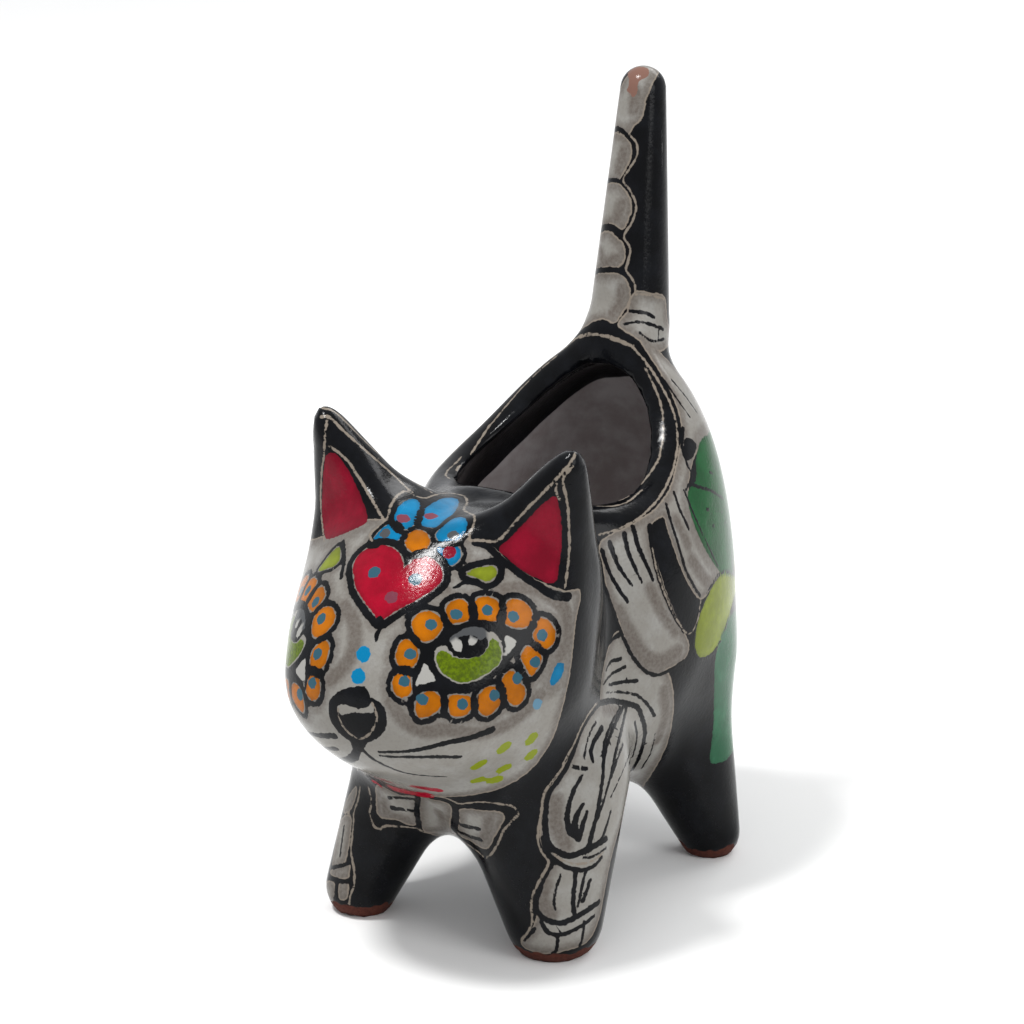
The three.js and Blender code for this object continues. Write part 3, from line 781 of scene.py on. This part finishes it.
# The frame's solid, refined where the brush went
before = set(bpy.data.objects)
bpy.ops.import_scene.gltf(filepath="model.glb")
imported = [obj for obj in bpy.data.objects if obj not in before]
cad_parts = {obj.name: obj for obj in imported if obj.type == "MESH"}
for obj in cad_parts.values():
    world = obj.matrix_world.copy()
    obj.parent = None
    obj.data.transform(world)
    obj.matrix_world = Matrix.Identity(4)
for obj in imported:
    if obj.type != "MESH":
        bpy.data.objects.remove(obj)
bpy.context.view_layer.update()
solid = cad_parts["cat_planter"]
corners = np.array([solid.matrix_world @ v.co for v in solid.data.vertices]) / MM
solid.data.calc_loop_triangles()
triangles = np.array([t.vertices[:] for t in solid.data.loop_triangles])
merged, back_to = np.unique(np.round(corners, 3), axis=0, return_inverse=True)
triangles = back_to.reshape(-1)[triangles]
triangles = triangles[(triangles != np.roll(triangles, -1, axis=1)).all(1)]

VOXEL = 1.0
LOW = np.array([-60.0, -105.0, -6.0])
CELLS = (122, 210, 270)
fine = np.zeros(CELLS, bool)
painted = np.zeros_like(fine)


def cells_of(p):
    return tuple(np.clip(((p - LOW) / VOXEL).astype(int), 0, np.array(CELLS) - 1).T)


def grow(cells, times):
    for _ in range(times):
        for axis in range(3):
            cells = cells | np.roll(cells, 1, axis) | np.roll(cells, -1, axis)
    return cells


for item in shapes:
    for place in item["places"]:
        line = item["line"]
        if place != "plain":
            line = line * MIRROR
            if place != "mirror":
                line = line + np.array([HEAD_MIDDLE, 0, -EYE_DROP if place == "eye" else 0])
            line = settle(line, reach=6.0)
        thin = not item["closed"] and item["layer"] in ("ink", "hair_and_lip_highlight")
        (fine if thin else painted)[cells_of(line)] = True
fine = grow(fine, 1)
painted = grow(painted, 3) | fine
FINE_EDGE, PAINTED_EDGE, PLAIN_EDGE = 1.05, 2.0, 4.0


def edge_target(p):
    cells = cells_of(p)
    return np.where(fine[cells], FINE_EDGE, np.where(painted[cells], PAINTED_EDGE, PLAIN_EDGE))


points, triangles = refine(merged, triangles, edge_target, 6)
normals = outward(points)
print("clay", len(points), "points", len(triangles), "triangles")

# Paint, as distances in millimetres that are above zero inside a shape
UNPAINTED = -9.0
REACH = 6.0
BULGE_SHARE = 0.3
FACING_LEAST = -0.4
TURN_LIMIT, TURN_REACH = 0.12, 30.0
LEG_TOP = 80
HEAD_SKIN = 5.0
HOLLOW_SKIN, INNER_SKIN = 1.0, 0.6
hollow = in_hollow(points) < HOLLOW_SKIN
x, y, z = points.T
layers = {
    name: np.full(len(points), UNPAINTED) for name in ("bone", "shade", "fill", "ink", "top", "lid", "dot", "hair_and_lip_highlight")
}
colours = {name: np.tile(np.array([0.5, 0.5, 0.5, 1.0]), (len(points), 1)) for name in ("fill", "top", "dot")}
for place, (side, rear, low) in PLACE_LIMITS.items():
    near = np.flatnonzero(~hollow & (x < side) & (y < rear) & (z > low))
    where = placed(points[near], place)
    out = outward(where)
    facing = ((EYE - where) * out).sum(1) / DISTANCE
    square_on = out @ HAUNCH_OUT
    kept = (facing > FACING_LEAST) | (square_on > 0)
    near, where, facing, square_on = near[kept], where[kept], facing[kept], square_on[kept]
    shown = ((EYE - points[near]) * normals[near]).sum(1) / DISTANCE
    leg_shown = (place == "mirror") & (z[near] < LEG_TOP) & (y[near] < 0)
    seen = pixels_of(where)
    plan = np.stack([where @ HAUNCH_ALONG, where[:, 2]], 1)
    on_head = head_at(where) < HEAD_SKIN
    for item in shapes:
        if place not in item["places"]:
            continue
        line, layer = item["line"], item["layer"]
        bulge = REACH + (BULGE_SHARE * np.ptp(line, axis=0).max() if item["closed"] else 0)
        pick = np.flatnonzero(((where > line.min(0) - bulge) & (where < line.max(0) + bulge)).all(1))
        if not len(pick):
            continue
        value = -gap_to(where[pick], line, item["half"], item["keep"])
        if item["closed"]:
            flat = plan if item["square"] else seen
            value = np.where(inside(flat[pick], item["curve"][:-1]), -value, value)
        # Paint ends where the clay turns away, and on the mirrored leg where the view shows that leg itself
        turned = square_on[pick] if item["square"] else facing[pick] + TURN_LIMIT
        value = np.minimum(value, turned * TURN_REACH)
        value = np.where(leg_shown[pick], np.minimum(value, -shown[pick] * TURN_REACH), value)
        # The red dabs of the chin stay off the chest below
        if item["colour"] == CRIMSON and layer == "dot" and not item["square"]:
            value = np.where(on_head[pick], value, UNPAINTED)
        target = near[pick]
        stronger = value > layers[layer][target]
        if layer in ("top", "dot"):
            stronger |= value > 0
        chosen = target[stronger]
        layers[layer][chosen] = value[stronger]
        if item["colour"] is not None and layer in colours:
            colours[layer][chosen, :3] = item["colour"]
        if item["ring"]:
            gap, width = item["ring"]
            band = width / 2 - np.abs(-value - gap - width / 2)
            layers["ink"][target] = np.maximum(layers["ink"][target], band)
layers["inner"] = np.where(in_hollow(points) < INNER_SKIN, trough_at(points) - MOUTH["radius"] * SHARE, UNPAINTED)

mesh = bpy.data.meshes.new("planter_clay")
mesh.vertices.add(len(points))
mesh.vertices.foreach_set("co", (points * MM).astype(np.float32).ravel())
mesh.loops.add(len(triangles) * 3)
mesh.loops.foreach_set("vertex_index", triangles.astype(np.int32).ravel())
mesh.polygons.add(len(triangles))
mesh.polygons.foreach_set("loop_start", np.arange(0, len(triangles) * 3, 3, dtype=np.int32))
mesh.update(calc_edges=True)
mesh.validate()
mesh.shade_smooth()
for name, values in layers.items():
    mesh.attributes.new(name, "FLOAT", "POINT").data.foreach_set("value", values.astype(np.float32))
for name, values in colours.items():
    attribute = mesh.attributes.new(name + "_colour", "FLOAT_COLOR", "POINT")
    attribute.data.foreach_set("color", values.astype(np.float32).ravel())
clay_piece = bpy.data.objects.new("planter_clay", mesh)
bpy.context.scene.collection.objects.link(clay_piece)


# Glazes

class Glaze:
    """A material whose colours lie over each other by the painted layers."""

    def __init__(self, name):
        self.material = bpy.data.materials.new(name)
        self.material.use_nodes = True
        self.tree = self.material.node_tree
        self.shader = self.tree.nodes["Principled BSDF"]

    def put(self, socket, value):
        if hasattr(value, "is_output"):
            self.tree.links.new(value, socket)
        elif isinstance(value, tuple) and len(value) == 3 and socket.type == "RGBA":
            socket.default_value = (*value, 1.0)
        else:
            socket.default_value = value

    def layer(self, name):
        node = self.tree.nodes.new("ShaderNodeAttribute")
        node.attribute_name = name
        return node.outputs["Color" if name.endswith("colour") else "Fac"]

    def sum(self, a, b, operation="ADD", limit=False):
        node = self.tree.nodes.new("ShaderNodeMath")
        node.operation = operation
        node.use_clamp = limit
        self.put(node.inputs[0], a)
        self.put(node.inputs[1], b)
        return node.outputs[0]

    def ramp(self, value, low, high, start=0.0, end=1.0):
        node = self.tree.nodes.new("ShaderNodeMapRange")
        node.interpolation_type = "SMOOTHSTEP"
        self.put(node.inputs["Value"], value)
        for name, number in (("From Min", low), ("From Max", high), ("To Min", start), ("To Max", end)):
            self.put(node.inputs[name], number)
        return node.outputs["Result"]

    def noise(self, size, detail=3.0, rough=0.5):
        place = self.tree.nodes.new("ShaderNodeTexCoord")
        node = self.tree.nodes.new("ShaderNodeTexNoise")
        self.tree.links.new(place.outputs["Object"], node.inputs["Vector"])
        node.inputs["Scale"].default_value = 1 / (size * MM)
        node.inputs["Detail"].default_value = detail
        node.inputs["Roughness"].default_value = rough
        return node.outputs["Fac"]

    def wander(self, size, detail, reach):
        """Noise in millimetres, to either side of zero."""
        return self.ramp(self.noise(size, detail), 0.3, 0.7, -reach, reach)

    def over(self, below, above, mask):
        node = self.tree.nodes.new("ShaderNodeMix")
        node.data_type = "RGBA"
        self.put(node.inputs[0], mask)
        self.put(node.inputs[6], below)
        self.put(node.inputs[7], above)
        return node.outputs[2]


g = Glaze("painted_glaze")
EDGE_BLUR = 0.13
INNER_DEPTH = (19.6, 20.4)
BARE_HEIGHT = (4.4, 3.8)
BUMP_DEPTH = 0.35
wobble = g.wander(1.6, 2.0, 0.16)
mottle = g.noise(9.0, 4.0, 0.6)
speck = g.noise(1.1, 3.0, 0.6)


def edge(name, beyond=0.0):
    return g.ramp(g.sum(g.layer(name), wobble), -EDGE_BLUR - beyond, EDGE_BLUR - beyond)


black = g.over(BLACK, glaze(25, 27, 32), g.ramp(mottle, 0.35, 0.75))
edge_shade = g.ramp(g.layer("bone"), 0.3, 4.2, 0.75, 0.0)
halo = g.ramp(g.layer("fill"), -5.6, -2.2, 0.0, 0.6)
brushed = g.ramp(g.layer("shade"), -2.2, 0.8, 0.0, 0.8)
shaded = g.sum(g.sum(edge_shade, halo, "MAXIMUM"), brushed, "MAXIMUM")
shaded = g.sum(shaded, g.ramp(speck, 0.3, 0.7, -0.14, 0.14), limit=True)
bone = g.over(g.over(BONE, glaze(190, 188, 182), g.ramp(mottle, 0.4, 0.7)), UMBER, shaded)
colour = g.over(black, HAIR_AND_LIP_HIGHLIGHT, edge("bone", 0.5))
colour = g.over(colour, bone, edge("bone"))
pool = g.ramp(mottle, 0.35, 0.7, 0.78, 1.12)
fill_shade = g.tree.nodes.new("ShaderNodeVectorMath")
fill_shade.operation = "SCALE"
g.put(fill_shade.inputs[0], g.layer("fill_colour"))
g.put(fill_shade.inputs["Scale"], g.sum(pool, g.ramp(g.layer("fill"), 0.0, 1.6, 0.78, 1.0), "MULTIPLY"))
colour = g.over(colour, fill_shade.outputs[0], edge("fill"))
colour = g.over(colour, black, edge("ink"))
colour = g.over(colour, g.layer("top_colour"), edge("top"))
colour = g.over(colour, g.over(IRIS, glaze(92, 112, 20), g.ramp(speck, 0.35, 0.65)), edge("lid", 0.4))
colour = g.over(colour, g.layer("dot_colour"), edge("dot"))
# Hairlines, and the painted highlight along the lip's inner edge
colour = g.over(colour, HAIR_AND_LIP_HIGHLIGHT, edge("hair_and_lip_highlight"))
inner_edge = g.ramp(g.sum(g.layer("inner"), g.wander(26.0, 1.0, 2.5)), *INNER_DEPTH)
inner = g.over(glaze(152, 143, 142, 1), glaze(174, 168, 168, 1), g.ramp(mottle, 0.3, 0.7))
colour = g.over(colour, inner, inner_edge)
spot = g.tree.nodes.new("ShaderNodeSeparateXYZ")
g.put(spot.inputs[0], g.tree.nodes.new("ShaderNodeTexCoord").outputs["Object"])
height = g.sum(spot.outputs["Z"], 1 / MM, "MULTIPLY")
bare = g.ramp(g.sum(height, g.wander(7.0, 2.0, 1.1)), *BARE_HEIGHT)
colour = g.over(colour, g.over(glaze(112, 62, 50), glaze(92, 50, 42), g.ramp(speck, 0.35, 0.7)), bare)
g.put(g.shader.inputs["Base Color"], colour)
worn = g.sum(g.ramp(speck, 0.3, 0.8, 0.10, 0.2), g.ramp(inner_edge, 0.0, 1.0, 0.0, 0.3))
g.put(g.shader.inputs["Roughness"], g.sum(worn, g.ramp(bare, 0.0, 1.0, 0.0, 0.6), limit=True))
g.shader.inputs["IOR"].default_value = 1.5
g.shader.inputs["Specular IOR Level"].default_value = 0.11
bump = g.tree.nodes.new("ShaderNodeBump")
bump.inputs["Distance"].default_value = BUMP_DEPTH * MM
bump.inputs["Strength"].default_value = 0.35
relief = g.sum(g.ramp(g.layer("ink"), -0.4, 0.5, 0.0, 0.25), g.sum(mottle, g.ramp(speck, 0.2, 0.8, 0.0, 0.2)))
g.put(bump.inputs["Height"], relief)
g.put(g.shader.inputs["Normal"], bump.outputs[0])
mesh.materials.append(g.material)

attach(clay_piece, "root")
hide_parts("cat_planter")

# Stage, in metres
FLOOR_HALF = 4
floor_mesh = bpy.data.meshes.new("floor")
floor_corners = [(x * FLOOR_HALF, y * FLOOR_HALF, 0) for x, y in ((-1, -1), (1, -1), (1, 1), (-1, 1))]
floor_mesh.from_pydata(floor_corners, [], [(0, 1, 2, 3)])
floor = bpy.data.objects.new("floor", floor_mesh)
bpy.context.scene.collection.objects.link(floor)
paper = Glaze("paper")
tone = paper.over(glaze(238, 238, 237, 1), glaze(232, 232, 231, 1), paper.noise(300.0))
paper.put(paper.shader.inputs["Base Color"], tone)
paper.shader.inputs["Roughness"].default_value = 0.7
floor_mesh.materials.append(paper.material)


def lamp(name, place, size, watts, aim=(0, 0, 0.12)):
    light = bpy.data.lights.new(name, "AREA")
    light.shape = "RECTANGLE"
    light.size, light.size_y = size
    light.energy = watts
    item = bpy.data.objects.new(name, light)
    item.location = place
    item.rotation_euler = (Vector(aim) - Vector(place)).to_track_quat("-Z", "Y").to_euler()
    bpy.context.scene.collection.objects.link(item)


lamp("key", (-0.4, -0.5, 1.8), (0.3, 0.26), 27)
lamp("side", (1.5, -0.3, 0.9), (0.7, 1.1), 10)
lamp("back", (0.2, 1.4, 1.3), (1.2, 0.6), 12)
world = bpy.data.worlds.new("studio")
bpy.context.scene.world = world
world.use_nodes = True
backdrop = world.node_tree.nodes["Background"]
backdrop.inputs["Color"].default_value = (0.97, 0.98, 1.0, 1.0)
backdrop.inputs["Strength"].default_value = 0.75

lens = bpy.data.cameras.new("camera")
lens.sensor_width = SENSOR_WIDTH
lens.lens = FOCAL_PIXELS / VIEW_SIZE * SENSOR_WIDTH
lens.clip_start = 0.05
camera = bpy.data.objects.new("camera", lens)
turn = Matrix([RIGHT, UP, BACK]).transposed().to_4x4()
camera.matrix_world = Matrix.Translation(Vector(EYE * MM)) @ turn
bpy.context.scene.collection.objects.link(camera)
bpy.context.scene.camera = camera
bpy.context.scene.view_settings.view_transform = "Standard"
